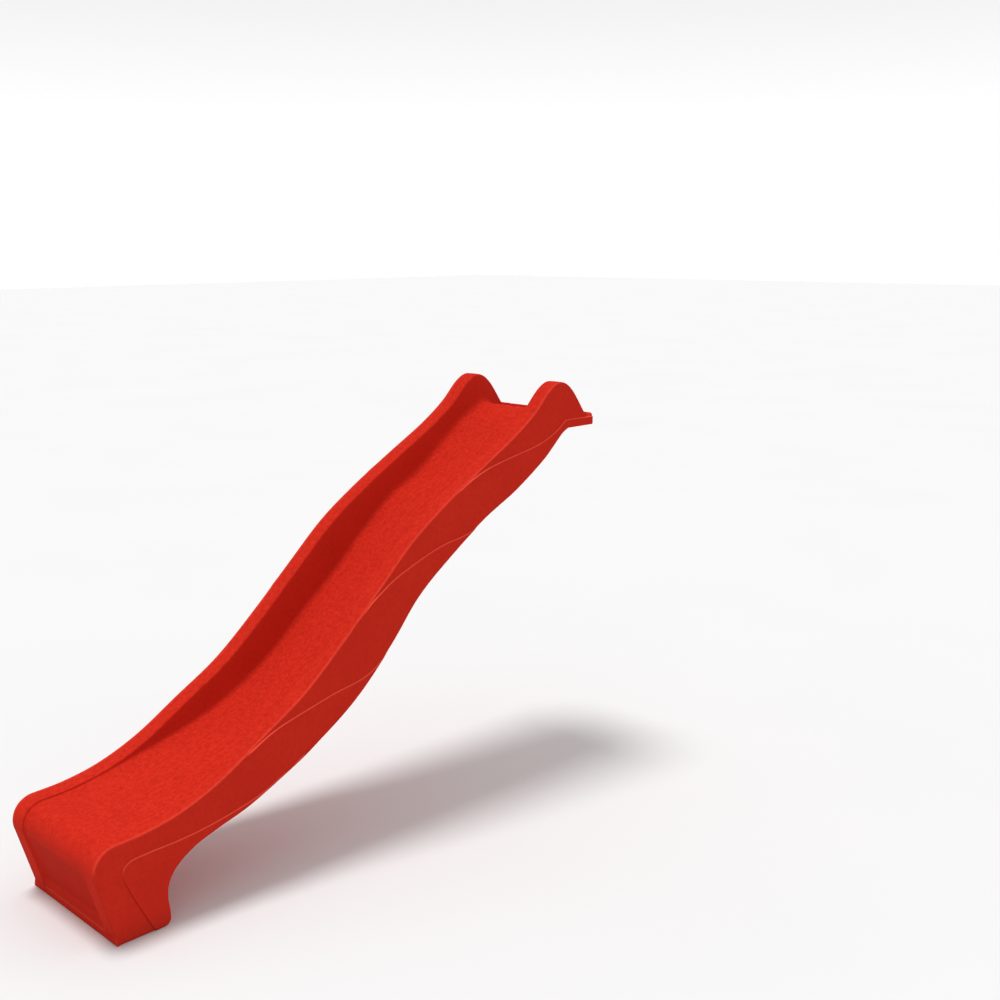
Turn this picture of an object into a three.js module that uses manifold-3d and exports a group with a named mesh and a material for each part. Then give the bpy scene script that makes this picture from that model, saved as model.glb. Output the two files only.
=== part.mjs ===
// A one-piece moulded wave slide for a 1.5 m play platform, with its fixing screws, screw covers,
// mould plugs and water inlet. Millimetres, +Z up. The rider leaves towards -Y.
//
// The body is worked out in "run" coordinates: y = 0 at the front edge of the foot and growing
// towards the platform, z = 0 on the ground. A group then centres the body on the origin.

import * as THREE from 'three';
import { mergeVertices } from 'three/addons/utils/BufferGeometryUtils.js';
import Module from 'manifold-3d';

// ---------------------------------------------------------------- driving dimensions

const HALF_WIDTH = 294;          // half of the overall width
const RAIL_WIDTH = 78;           // flat strip along the top of each side
const WALL = 3;                  // thickness of the moulded skin
const DRAFT = 0.18;              // how far the inner walls lean out for each mm of depth
const FLOOR_FILLET = 34;         // radius between floor and inner wall
const RAIL_ROUND = 6;            // radius along the inner edge of a rail
const RAIL_CHAMFER = 2;          // bevel along the outer edge of a rail
const BOTTOM_ROUND = 8;          // radius along the bottom edge of a side
const BEAM_WIDTH = 74;           // solid-looking band along each bottom edge
const RECESS_DEPTH = 24;         // how far the underside is set up between the two bands
const RECESS_SLOPE = 14;
const FLOOR_BACKING = 34;        // least distance from the floor to the underside

const STRIP_HEIGHT = 24;         // upright strip along the front edge of the foot
const LEDGE_TOP = 64;            // top of the sloping ledge under the front panel
const FACE_START = 30;           // where the front face starts to lean forward
const PANEL_DEPTH = 7;           // depth of the front panel below its flanges
const NOSE = { y: 11, z: 265, radius: 80 };

const HEEL = { y: 180, radius: 23 };
const LIP_END = 2381;
const LIP_BOTTOM = 1479;
const LIP_TOP = 1519;
const LIP_RIM = 1532;
const LIP_RIM_START = 2360;
const LIP_RIM_CHAMFER = 12;

// top edge of a side: from the nose, up the run, over the shoulder and down to the lip
const RAIL_POINTS = [
  [120, 352], [260, 379], [420, 442], [600, 548], [780, 656], [960, 805], [1140, 971],
  [1320, 1133], [1500, 1255], [1700, 1372], [1900, 1486], [2020, 1572], [2100, 1650],
  [2145, 1678], [2176, 1684], [2207, 1675], [2246, 1645], [2290, 1589], [2318, 1549],
  [2340, 1525], [2354, 1519],
];
// sliding surface: from the nose, up the wave, over the crest and down to the lip
const FLOOR_POINTS = [
  [90, 341], [190, 355], [345, 386], [500, 424], [700, 492], [860, 573], [1000, 672],
  [1140, 794], [1300, 928], [1460, 1073], [1620, 1196], [1780, 1282], [1940, 1398],
  [2060, 1486], [2133, 1531], [2182, 1553], [2210, 1547], [2232, 1532], [2252, 1520], [2268, 1518],
];
// bottom edge of a side: from the heel, up behind the foot, along the run and in to the lip
const BOTTOM_POINTS = [
  [203, 45], [195, 92], [200, 139], [228, 187], [300, 238], [400, 273], [520, 308], [660, 368],
  [800, 436], [1000, 559], [1200, 745], [1340, 900], [1500, 1022], [1700, 1152], [1900, 1252],
  [2070, 1361], [2140, 1422], [2185, 1461], [2221, LIP_BOTTOM],
];

const SCREW = { y: 2333, xs: [-170, 0, 170], pocketRadius: 15, pocketFloor: 1513, holeRadius: 3.6 };
const INLET = { y: 2285, holeRadius: 10.4, bossRadius: 24 };
const BOSS_RADIUS = 20;
const PLUG = { xs: [-120, 120], z: 95, y: 193.8, holeRadius: 6, spotRadius: 13 };
const DRAIN = { z: 30, radius: 5 };
const GAP = 0.3;                 // clearance where two pieces meet

const RED = 0xc62318;
const material = (color, roughness, metalness = 0) =>
  new THREE.MeshStandardMaterial({ color, roughness, metalness });

const wasm = await Module();
wasm.setup();

// ---------------------------------------------------------------- solids and booleans

function toManifold(geometry) {
  const bare = geometry.index ? geometry.toNonIndexed() : geometry.clone();
  bare.deleteAttribute('normal');
  bare.deleteAttribute('uv');
  const merged = mergeVertices(bare, 1e-4);
  const triangles = [];
  const index = merged.index.array;
  for (let i = 0; i < index.length; i += 3) {
    const [a, b, c] = [index[i], index[i + 1], index[i + 2]];
    if (a !== b && b !== c && c !== a) triangles.push(a, b, c);
  }
  return new wasm.Manifold(new wasm.Mesh({
    numProp: 3,
    vertProperties: new Float32Array(merged.attributes.position.array),
    triVerts: new Uint32Array(triangles),
  }));
}

function toGeometry(solid) {
  const mesh = solid.getMesh();
  const geometry = new THREE.BufferGeometry();
  geometry.setAttribute('position', new THREE.BufferAttribute(mesh.vertProperties, 3));
  geometry.setIndex(new THREE.BufferAttribute(mesh.triVerts, 1));
  geometry.computeVertexNormals();
  return geometry;
}

// an upright cylinder between two heights, or one lying along Y when alongY is set
function cylinder(radius, from, to, x, other, alongY = false, segments = 24) {
  const geometry = new THREE.CylinderGeometry(radius, radius, to - from, segments);
  if (alongY) geometry.translate(x, (from + to) / 2, other);
  else geometry.rotateX(Math.PI / 2).translate(x, other, (from + to) / 2);
  return toManifold(geometry);
}

// ---------------------------------------------------------------- outlines in the side view

class Outline {
  constructor(points) {
    this.points = points;
    this.lengths = [0];
    for (let i = 1; i < points.length; i++) {
      this.lengths.push(this.lengths[i - 1] + points[i].distanceTo(points[i - 1]));
    }
  }

  at(length) {
    let i = 1;
    while (i < this.points.length - 1 && this.lengths[i] < length) i++;
    const share = (length - this.lengths[i - 1]) / (this.lengths[i] - this.lengths[i - 1]);
    return this.points[i - 1].clone().lerp(this.points[i], Math.min(Math.max(share, 0), 1));
  }

  // the length at which the outline passes closest to a point
  find(y, z) {
    const target = new THREE.Vector2(y, z);
    let best = Infinity;
    let found = 0;
    for (let i = 1; i < this.points.length; i++) {
      const step = this.points[i].clone().sub(this.points[i - 1]);
      const share = target.clone().sub(this.points[i - 1]).dot(step) / step.lengthSq();
      const clamped = Math.min(Math.max(share, 0), 1);
      const distance = this.points[i - 1].clone().addScaledVector(step, clamped).distanceTo(target);
      if (distance < best) {
        best = distance;
        found = this.lengths[i - 1] + clamped * step.length();
      }
    }
    return found;
  }

  // how far along a ray the outline is first crossed
  crossing(origin, direction) {
    let nearest = Infinity;
    for (let i = 1; i < this.points.length; i++) {
      const a = this.points[i - 1];
      const step = this.points[i].clone().sub(a);
      const determinant = direction.x * -step.y + step.x * direction.y;
      if (Math.abs(determinant) < 1e-9) continue;
      const [dx, dy] = [a.x - origin.x, a.y - origin.y];
      const along = (dx * -step.y + step.x * dy) / determinant;
      const share = (direction.x * dy - direction.y * dx) / determinant;
      if (share >= -1e-6 && share <= 1 + 1e-6 && along > 0 && along < nearest) nearest = along;
    }
    return nearest;
  }
}

function smooth(points, samples = 8) {
  const knots = points.map(([y, z]) => new THREE.Vector3(y, z, 0));
  const curve = new THREE.CatmullRomCurve3(knots, false, 'centripetal');
  return curve.getPoints((points.length - 1) * samples).map((p) => new THREE.Vector2(p.x, p.y));
}

function arc(centreY, centreZ, radius, fromDegrees, toDegrees, steps) {
  const points = [];
  for (let i = 0; i <= steps; i++) {
    const angle = THREE.MathUtils.degToRad(fromDegrees + ((toDegrees - fromDegrees) * i) / steps);
    const offset = new THREE.Vector2(Math.cos(angle), Math.sin(angle)).multiplyScalar(radius);
    points.push(offset.add(new THREE.Vector2(centreY, centreZ)));
  }
  return points;
}

const FACE_ANGLE = (() => {      // direction of the leaning front face, tangent to the nose
  const [dy, dz] = [NOSE.y, NOSE.z - FACE_START];
  return THREE.MathUtils.radToDeg(Math.atan2(dz, dy) + Math.asin(NOSE.radius / Math.hypot(dy, dz)));
})();
const NOSE_END = 93.4;           // the nose turns into the run here, climbing slightly

// the front of the foot, depth mm inside its flanges
function frontOutline(depth) {
  return arc(NOSE.y, NOSE.z, NOSE.radius - depth, FACE_ANGLE + 90, NOSE_END, 10);
}

function railOutline() {
  const nose = frontOutline(0);
  const run = smooth([nose.at(-1).toArray(), ...RAIL_POINTS]);
  const rim = [
    [LIP_RIM_START - 2, LIP_TOP + 1], [LIP_RIM_START + 3, LIP_RIM],
    [LIP_END - 3, LIP_RIM], [LIP_END, LIP_RIM - 3],
  ];
  return new Outline([
    new THREE.Vector2(0, 3), new THREE.Vector2(0, FACE_START), ...nose, ...run.slice(1),
    ...rim.map(([y, z]) => new THREE.Vector2(y, z)),
  ]);
}

function floorOutline() {
  const nose = frontOutline(PANEL_DEPTH);
  const lean = 1 / Math.tan(THREE.MathUtils.degToRad(FACE_ANGLE));
  const panelFoot = new THREE.Vector2((LEDGE_TOP - FACE_START) * lean + PANEL_DEPTH, LEDGE_TOP);
  const run = smooth([nose.at(-1).toArray(), ...FLOOR_POINTS]);
  const rim = [
    [LIP_RIM_START - 3, LIP_TOP - 1], [LIP_RIM_START + 3, LIP_RIM - 1],
    [LIP_END - 3, LIP_RIM - 1], [LIP_END + 1, LIP_RIM - 5],
  ];
  return new Outline([
    new THREE.Vector2(1, -5), new THREE.Vector2(1, STRIP_HEIGHT), panelFoot, ...nose, ...run.slice(1),
    ...rim.map(([y, z]) => new THREE.Vector2(y, z)),
  ]);
}

function bottomOutline() {
  const heel = arc(HEEL.y, HEEL.radius, HEEL.radius, -90, 0, 4);
  const back = smooth([heel.at(-1).toArray(), ...BOTTOM_POINTS], 6);
  return new Outline([
    new THREE.Vector2(3, 0), ...heel, ...back.slice(1), new THREE.Vector2(LIP_END, LIP_BOTTOM),
  ]);
}

const rail = railOutline();
const floor = floorOutline();
const bottom = bottomOutline();

// ---------------------------------------------------------------- stations along the body

// Each row pairs a place on the top edge with a place on the bottom edge. The body is cut
// along the straight lines between them, and "steps" more lines are spread evenly in between.
const PAIRS = [
  { top: [0, 3], low: [3, 0], steps: 1 },
  { top: [0, STRIP_HEIGHT], low: [14, 0], steps: 1 },
  { top: [-10, LEDGE_TOP], low: [30, 0], steps: 2 },
  { top: [-65, 241], low: [100, 0], steps: 6 },
  { top: [6, 345], low: [HEEL.y, 0], steps: 2 },
  { top: [60, 348], low: [203, 40], steps: 2 },
  { top: [140, 354], low: [194, 109], steps: 2 },
  { top: [230, 371], low: [222, 180], steps: 2 },
  { top: [330, 403], low: [365, 262], steps: 3 },
  { top: [500, 488], low: [588, 336], steps: 4 },
  { top: [800, 671], low: [938, 517], steps: 7 },
  { top: [1200, 1025], low: [1332, 890], steps: 6 },
  { top: [1600, 1313], low: [1696, 1149], steps: 4 },
  { top: [1900, 1486], low: [2006, 1316], steps: 3 },
  { top: [2100, 1650], low: [2159, 1440], steps: 3 },
  { top: [2176, 1684], low: [2221, LIP_BOTTOM], steps: 3 },
  { top: [2262, 1626], low: [2262, LIP_BOTTOM], steps: 3 },
  { top: [2320, 1547], low: [2316, LIP_BOTTOM], steps: 2 },
  { top: [2354, 1519], low: [2352, LIP_BOTTOM], steps: 1 },
  { top: [2363, LIP_RIM], low: [2363, LIP_BOTTOM], steps: 1 },
  { top: [LIP_END - 3, LIP_RIM], low: [LIP_END - 3, LIP_BOTTOM], steps: 1 },
  { top: [LIP_END, LIP_RIM - 3], low: [LIP_END, LIP_BOTTOM], steps: 1 },
];

function smoothStep(value, from, to) {
  return THREE.MathUtils.smoothstep(value, from, to);
}

function stations() {
  const list = [];
  PAIRS.forEach((pair, i) => {
    const next = PAIRS[i + 1];
    const topFrom = rail.find(...pair.top);
    const lowFrom = bottom.find(...pair.low);
    const steps = next ? pair.steps : 1;
    for (let k = 0; k < steps; k++) {
      const share = k / steps;
      const topLength = next ? topFrom + (rail.find(...next.top) - topFrom) * share : topFrom;
      const lowLength = next ? lowFrom + (bottom.find(...next.low) - lowFrom) * share : lowFrom;
      list.push(station(rail.at(topLength), bottom.at(lowLength)));
    }
  });
  return list;
}

function station(top, low) {
  const direction = low.clone().sub(top);
  const height = direction.length();
  direction.normalize();
  const floorDepth = Math.max(floor.crossing(top, direction), 1);
  const room = height - floorDepth - FLOOR_BACKING;
  const along = smoothStep(low.y, 150, 330) * (1 - smoothStep(low.x, 2060, 2190));
  const recess = along * Math.min(Math.max(room, 0), RECESS_DEPTH);
  const onRim = top.x > LIP_RIM_START;
  return { top, direction, height, floorDepth, recess, chamfer: onRim ? LIP_RIM_CHAMFER : RAIL_CHAMFER };
}

// points of a quadratic curve, without its ends
function bend(from, control, to, count) {
  const curve = new THREE.QuadraticBezierCurve(
    new THREE.Vector2(...from), new THREE.Vector2(...control), new THREE.Vector2(...to),
  );
  return curve.getPoints(count + 1).slice(1, -1).map((p) => p.toArray());
}

// right half of the outer section, as [x, depth below the rail] from the floor to the underside
function outerHalf({ height, floorDepth, recess, chamfer }) {
  const railInner = HALF_WIDTH - RAIL_WIDTH;
  const fillet = Math.min(FLOOR_FILLET, floorDepth * 0.5);
  const round = Math.min(RAIL_ROUND, floorDepth * 0.4);
  const floorEdge = railInner - DRAFT * floorDepth;
  const filletStart = [floorEdge - fillet, floorDepth];
  const filletEnd = [floorEdge + DRAFT * fillet, floorDepth - fillet];
  const roundStart = [railInner - DRAFT * round, round];
  const roundEnd = [railInner + round, 0];
  const low = Math.min(BOTTOM_ROUND, height * 0.2);
  return [
    [0, floorDepth], filletStart, ...bend(filletStart, [floorEdge, floorDepth], filletEnd, 2), filletEnd,
    roundStart, roundEnd,
    [HALF_WIDTH - chamfer, 0], [HALF_WIDTH, Math.min(chamfer, height * 0.4)],
    [HALF_WIDTH, height - low], [HALF_WIDTH - low, height],
    [HALF_WIDTH - BEAM_WIDTH, height], [HALF_WIDTH - BEAM_WIDTH - RECESS_SLOPE, height - recess],
    [0, height - recess],
  ];
}

// right half of the hollow inside, one wall thickness in
function innerHalf({ height, floorDepth, recess, chamfer }) {
  const railInner = HALF_WIDTH - RAIL_WIDTH;
  const fillet = Math.min(FLOOR_FILLET, floorDepth * 0.5);
  const floorEdge = railInner - DRAFT * floorDepth;
  const start = [floorEdge - fillet, floorDepth + WALL];
  const end = [floorEdge + DRAFT * fillet + WALL, Math.max(floorDepth - fillet, WALL + 1)];
  return [
    [0, floorDepth + WALL], start, ...bend(start, [floorEdge + WALL, floorDepth + WALL], end, 1), end,
    [railInner + WALL + 2, WALL],
    [HALF_WIDTH - WALL - chamfer, WALL], [HALF_WIDTH - WALL, WALL + chamfer],
    [HALF_WIDTH - WALL, height - WALL - 6], [HALF_WIDTH - WALL - 6, height - WALL],
    [HALF_WIDTH - BEAM_WIDTH + 1, height - WALL],
    [HALF_WIDTH - BEAM_WIDTH - RECESS_SLOPE + 1, height - recess - WALL],
    [0, height - recess - WALL],
  ];
}

// closes a list of half sections into one solid skin
function loft(list, halfSection) {
  const rings = list.map((place) => {
    const half = halfSection(place);
    const mirrored = half.slice(1, -1).reverse().map(([x, depth]) => [-x, depth]);
    return [...half, ...mirrored].map(([x, depth]) => ({
      flat: new THREE.Vector2(x, depth),
      point: [x, place.top.x + place.direction.x * depth, place.top.y + place.direction.y * depth],
    }));
  });
  const count = rings[0].length;
  const positions = [];
  const addTriangle = (a, b, c) => positions.push(...a.point, ...b.point, ...c.point);
  for (let i = 1; i < rings.length; i++) {
    for (let k = 0; k < count; k++) {
      const next = (k + 1) % count;
      addTriangle(rings[i - 1][k], rings[i - 1][next], rings[i][next]);
      addTriangle(rings[i - 1][k], rings[i][next], rings[i][k]);
    }
  }
  for (const [ring, flip] of [[rings[0], true], [rings.at(-1), false]]) {
    for (const [a, b, c] of THREE.ShapeUtils.triangulateShape(ring.map((corner) => corner.flat), [])) {
      if (flip) addTriangle(ring[a], ring[c], ring[b]);
      else addTriangle(ring[a], ring[b], ring[c]);
    }
  }
  const geometry = new THREE.BufferGeometry();
  geometry.setAttribute('position', new THREE.Float32BufferAttribute(positions, 3));
  const solid = toManifold(geometry);
  return solid.volume() > 0 ? solid : toManifold(flipped(geometry));
}

function flipped(geometry) {
  const turned = geometry.clone();
  const array = turned.attributes.position.array;
  for (let i = 0; i < array.length; i += 9) {
    const second = array.slice(i + 3, i + 6);
    array.copyWithin(i + 3, i + 6, i + 9);
    array.set(second, i + 6);
  }
  return turned;
}

// ---------------------------------------------------------------- the slide body

function slideBody() {
  const places = stations();
  let hollow = loft(places.slice(2, -2), innerHalf);
  for (const x of SCREW.xs) hollow = hollow.subtract(cylinder(BOSS_RADIUS, 1470, 1540, x, SCREW.y));
  hollow = hollow.subtract(cylinder(INLET.bossRadius, 1470, 1560, 0, INLET.y));
  let body = loft(places, outerHalf).subtract(hollow);
  for (const x of SCREW.xs) {
    body = body.subtract(cylinder(SCREW.holeRadius, 1470, 1540, x, SCREW.y, false, 16));
    body = body.subtract(cylinder(SCREW.pocketRadius, SCREW.pocketFloor, 1560, x, SCREW.y));
  }
  body = body.subtract(cylinder(INLET.holeRadius, 1470, 1560, 0, INLET.y));
  for (const x of PLUG.xs) {
    body = body.subtract(cylinder(PLUG.holeRadius, 180, 215, x, PLUG.z, true, 20));
    body = body.subtract(cylinder(PLUG.spotRadius, PLUG.y, 215, x, PLUG.z, true));
  }
  return body.subtract(cylinder(DRAIN.radius, 180, 220, 0, DRAIN.z, true, 16));
}

// ---------------------------------------------------------------- small pieces

// turns a profile of [radius, height] points round an upright axis
function turned(profile, segments = 24) {
  const points = profile.map(([radius, height]) => new THREE.Vector2(radius, height));
  return new THREE.LatheGeometry(points, segments).rotateX(Math.PI / 2);
}

function woodScrew() {
  return turned([
    [0, -74], [0.9, -72], [2.1, -66], [3, -64], [3, -14], [2.2, -13], [2.2, 0], [7, 0.2],
    [6.6, 1.8], [4.6, 3.2], [2.4, 3.5], [2.2, 1.4], [0, 1.4],
  ], 16);
}

function washer() {
  return turned([[3.4, 0], [12, 0], [12, 1.6], [3.4, 1.6], [3.4, 0]]);
}

function screwCover() {
  return turned([
    [12.6, 0], [13.8, 0], [13.8, 4.6], [12.6, 7.2], [9.5, 8.6], [0, 9.2],
    [0, 8], [9.2, 7.4], [11.6, 6.4], [12.6, 4.2], [12.6, 0],
  ]);
}

function mouldPlug() {
  return turned([
    [0, -7], [4.6, -7], [5.6, -5], [5.6, 0], [11, 0], [11, 1.4], [10.2, 2.2], [0, 2.6],
  ], 20);
}

function waterSpout() {
  return turned([
    [6, -57.5], [9.4, -57.5], [10, -56.9], [10, 0], [17, 0], [18, 1], [17, 3], [12, 4.6],
    [6, 5], [6, -57.5],
  ]);
}

function sealRing() {
  return turned([[10.4, 0], [17.5, 0], [17.5, 1.4], [10.4, 1.4], [10.4, 0]]);
}

function hexNut() {
  const across = 16 / Math.cos(Math.PI / 6);
  const shape = new THREE.Shape();
  for (let i = 0; i < 6; i++) {
    const angle = (i * Math.PI) / 3;
    const corner = [across * Math.cos(angle), across * Math.sin(angle)];
    if (i === 0) shape.moveTo(...corner);
    else shape.lineTo(...corner);
  }
  const hole = new THREE.Path();
  hole.absarc(0, 0, 10.3, 0, Math.PI * 2, true);
  shape.holes.push(hole);
  return new THREE.ExtrudeGeometry(shape, { depth: 8, bevelEnabled: false, curveSegments: 24 });
}

// a snap-on hose nipple: collar, neck, barb ring and tip
function hoseNipple() {
  return turned([
    [5, -44], [7, -44], [8, -41], [8, -34], [6.8, -33], [6.8, -29], [8.5, -28], [8.5, -18],
    [12.5, -16], [14, -14], [14, 0], [10.4, 0], [10.4, -10], [5, -12], [5, -44],
  ]);
}

// ---------------------------------------------------------------- assembly

const group = new THREE.Group();
const placed = new THREE.Group();
group.add(placed);

function add(name, geometry, finish, position = [0, 0, 0], rotation = [0, 0, 0]) {
  const mesh = new THREE.Mesh(geometry, finish);
  mesh.name = name;
  mesh.position.set(...position);
  mesh.rotation.set(...rotation);
  placed.add(mesh);
  return mesh;
}

const body = add('slide_body', toGeometry(slideBody()), material(RED, 0.45));

SCREW.xs.forEach((x, i) => {
  const side = ['left', 'middle', 'right'][i];
  const seat = SCREW.pocketFloor + GAP;
  add(`washer_${side}`, washer(), material(0xb8bcc0, 0.35, 1), [x, SCREW.y, seat]);
  add(`screw_${side}`, woodScrew(), material(0xc9ccd0, 0.3, 1), [x, SCREW.y, seat + 1.6 + GAP]);
  add(`screw_cover_${side}`, screwCover(), material(0xb01f16, 0.5), [x, SCREW.y, seat]);
});

PLUG.xs.forEach((x, i) => {
  const side = ['left', 'right'][i];
  const place = [x, PLUG.y + GAP, PLUG.z];
  add(`mould_plug_${side}`, mouldPlug(), material(0x8e1a12, 0.55), place, [-Math.PI / 2, 0, 0]);
});

const spoutSeat = LIP_TOP - 1 + GAP;
add('water_spout_seal', sealRing(), material(0x1d1d1f, 0.8), [0, INLET.y, spoutSeat]);
add('water_spout', waterSpout(), material(0x2a2b2e, 0.45), [0, INLET.y, spoutSeat + 1.4 + GAP]);
add('water_inlet_nut', hexNut(), material(0x2a2b2e, 0.5), [0, INLET.y, LIP_BOTTOM - GAP - 8]);
add('hose_nipple', hoseNipple(), material(0x3a3b3e, 0.5), [0, INLET.y, LIP_BOTTOM - 2 * GAP - 8]);

body.geometry.computeBoundingBox();
const { min, max } = body.geometry.boundingBox;
placed.position.y = -(min.y + max.y) / 2;

export default group;
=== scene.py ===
"""Visual model of a one-piece moulded wave slide and its small fittings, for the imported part.

Shapes are worked out in millimetres. Side-view outlines use "run" coordinates: y = 0 at the front
edge of the foot, growing towards the platform, and z = 0 on the ground. Meshes are in metres, in
the row frame.
"""

import math

import bmesh
import bpy
import numpy as np
from mathutils import Matrix, Vector


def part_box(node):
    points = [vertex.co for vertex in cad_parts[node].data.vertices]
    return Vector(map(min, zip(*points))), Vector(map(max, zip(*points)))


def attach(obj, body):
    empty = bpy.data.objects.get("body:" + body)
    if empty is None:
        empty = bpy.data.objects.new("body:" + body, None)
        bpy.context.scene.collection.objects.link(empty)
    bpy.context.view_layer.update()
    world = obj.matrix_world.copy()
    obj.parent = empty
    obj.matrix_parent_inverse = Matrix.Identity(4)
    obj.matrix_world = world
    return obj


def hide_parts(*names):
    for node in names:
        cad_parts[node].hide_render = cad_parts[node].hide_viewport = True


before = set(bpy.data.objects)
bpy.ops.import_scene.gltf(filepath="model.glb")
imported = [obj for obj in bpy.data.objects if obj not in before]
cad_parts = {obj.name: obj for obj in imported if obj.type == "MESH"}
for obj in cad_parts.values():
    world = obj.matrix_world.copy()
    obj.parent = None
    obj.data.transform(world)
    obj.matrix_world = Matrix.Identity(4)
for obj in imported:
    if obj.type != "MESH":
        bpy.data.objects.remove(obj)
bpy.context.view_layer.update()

# ------------------------------------------------------------------ driving dimensions, in mm

MM = 0.001
HALF_WIDTH = 294.0
RAIL_WIDTH = 78.0
DRAFT = 0.18  # how much the inner walls lean, as a share of their depth
FLOOR_FILLET_LOW, FLOOR_FILLET_HIGH = 16.0, 32.0
FILLET_GROWS = (1300, 2000)  # along y
RAIL_INNER_ROUND = 6.0
RAIL_OUTER_ROUND = 2.6
RAIL_CROWN = 0.8
BOTTOM_ROUND = 8.0
BEAM_WIDTH = 74.0
RECESS_DEPTH = 24.0
RECESS_SLOPE = 18.0
RECESS_STARTS = (150, 330)  # along z
RECESS_ENDS = (2060, 2190)  # along y
FLOOR_BACKING = 34.0

FACE_START = 30.0
PANEL_DEPTH = 7.0
STRIP_SET_BACK, STRIP_TOP = 0.8, 23.0
BAND_SET_BACK, BAND_BOTTOM, BAND_TOP = 8.0, 27.0, 60.0
FRONT_CORNER = 13.0
FRONT_CORNER_ENDS = (215, 345)  # along the top edge
NOSE_Y, NOSE_Z, NOSE_RADIUS = 11.0, 265.0, 80.0
NOSE_END = 93.4  # degrees round the nose's centre
HEEL_Y, HEEL_RADIUS = 180.0, 23.0

LIP_END = 2381.0
LIP_BOTTOM = 1479.0
LIP_TOP = 1519.0
LIP_RIM = 1532.0
RIM_START = 2360.0
RIM_CORNER = 12.0
EDGE_ROUND = 3.0

# how far each kind of line is smoothed
RUN_EASE, RIM_EASE, BASE_EASE, STEP_EASE = 9, 1.2, 1.5, 4

# knots of the top edge, the chute floor and the bottom edge, as (y, z)
RAIL_POINTS = [
    (120, 352), (260, 379), (420, 442), (600, 548), (780, 656), (960, 805), (1140, 971),
    (1320, 1133), (1500, 1255), (1700, 1372), (1900, 1486), (2020, 1572), (2100, 1650),
    (2145, 1678), (2176, 1684), (2207, 1675), (2246, 1645), (2290, 1589), (2318, 1549),
    (2340, 1525), (2354, 1519),
]
FLOOR_POINTS = [
    (90, 341), (190, 355), (345, 386), (500, 424), (700, 492), (860, 573), (1000, 672),
    (1140, 794), (1300, 928), (1460, 1073), (1620, 1196), (1780, 1282), (1940, 1398),
    (2060, 1486), (2133, 1531), (2182, 1553), (2210, 1547), (2232, 1532), (2252, 1520),
    (2268, 1518),
]
BOTTOM_POINTS = [
    (203, 45), (195, 92), (200, 139), (228, 187), (300, 238), (400, 273), (520, 308), (660, 368),
    (800, 436), (1000, 559), (1200, 745), (1340, 900), (1500, 1022), (1700, 1152), (1900, 1252),
    (2070, 1361), (2140, 1422), (2185, 1461), (2221, LIP_BOTTOM),
]

# place on the top edge, place on the bottom edge, number of stations up to the next pair
PAIRS = [
    ((0, 3), (3, 0), 3),
    ((0, 15), (11, 0), 14),
    ((-5, 45), (22, 0), 12),
    ((-14, 76), (33, 0), 12),
    ((-65, 241), (92, 0), 12),
    ((-54, 312), (122, 0), 8),
    ((-27, 335), (150, 0), 8),
    ((6, 345), (HEEL_Y, 0), 12),
    ((60, 348), (203, 40), 11),
    ((140, 354), (194, 109), 10),
    ((230, 371), (222, 180), 10),
    ((330, 403), (365, 262), 14),
    ((500, 488), (588, 336), 28),
    ((800, 671), (938, 517), 44),
    ((1200, 1025), (1332, 890), 38),
    ((1600, 1313), (1696, 1149), 27),
    ((1900, 1486), (2006, 1316), 22),
    ((2100, 1650), (2159, 1440), 16),
    ((2176, 1684), (2221, LIP_BOTTOM), 16),
    ((2262, 1626), (2262, LIP_BOTTOM), 12),
    ((2320, 1547), (2316, LIP_BOTTOM), 8),
    ((2350, 1520), (2350, LIP_BOTTOM), 4),
    ((2357, 1519), (2357, LIP_BOTTOM), 7),
    ((2365, LIP_RIM), (2365, LIP_BOTTOM), 4),
    ((LIP_END - EDGE_ROUND, LIP_RIM), (LIP_END - EDGE_ROUND, LIP_BOTTOM), 1),
]

# low steps moulded into the side panels: knots from front to back, as (y, z), and the length
# over which each one grows from nothing
STEP_LINES = [
    ([(139, 0), (95, 84), (47, 181), (31, 225), (33, 257), (60, 277), (120, 283), (231, 286),
      (329, 294), (451, 313), (577, 343), (665, 380), (705, 397), (760, 426)], 0),
    ([(500, 488), (542, 510), (580, 530), (620, 549), (664, 565), (708, 577), (800, 599),
      (913, 625), (1043, 647), (1102, 670), (1143, 698), (1190, 735)], 60),
    ([(1030, 870), (1068, 905), (1100, 931), (1138, 956), (1211, 999), (1315, 1041), (1422, 1078),
      (1500, 1096), (1570, 1106), (1635, 1122), (1700, 1146)], 60),
    ([(1535, 1275), (1574, 1300), (1619, 1325), (1676, 1349), (1733, 1368), (1803, 1384),
      (1924, 1408), (2004, 1424), (2066, 1442), (2123, 1467), (2162, 1489), (2194, 1512),
      (2203, 1517), (2214, 1518), (2240, 1518), (2400, 1518)], 60),
]
STEP_RISE = 4.6
STEP_SLOPE = 4.0
STEP_FADE = 115.0
STEP_REACH_ABOVE, STEP_REACH_BELOW = 4.5, 8.0
STEP_CUTS = 3
# width of the painted highlight on each step's ledge
LEDGE_SPREAD = 0.75  # of STEP_SLOPE
# strength of the painted highlight along the rail's outer edge and the lower strip's ledge
EDGE_PAINTED_LIGHT = 0.24
# heights where the floor's lower strip ledge gets that painted highlight
STRIP_LEDGE = (21.0, 28.0)  # along z

# points across half a section
FLOOR_COUNT, FILLET_COUNT, INNER_COUNT, CREST_COUNT = 10, 7, 5, 5
CORNER_COUNT, WALL_COUNT, EDGE_COUNT = 4, 36, 3
UNDERSIDE_COUNT, RECESS_COUNT, BELLY_COUNT = 4, 7, 6
PANEL_FADE = np.linspace(0.9, 0.3, 5)
# points across the floor and front that are plain and get the front panel's painted shade
PLAIN_AND_SHADED_COUNT = FLOOR_COUNT + 5

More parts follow.
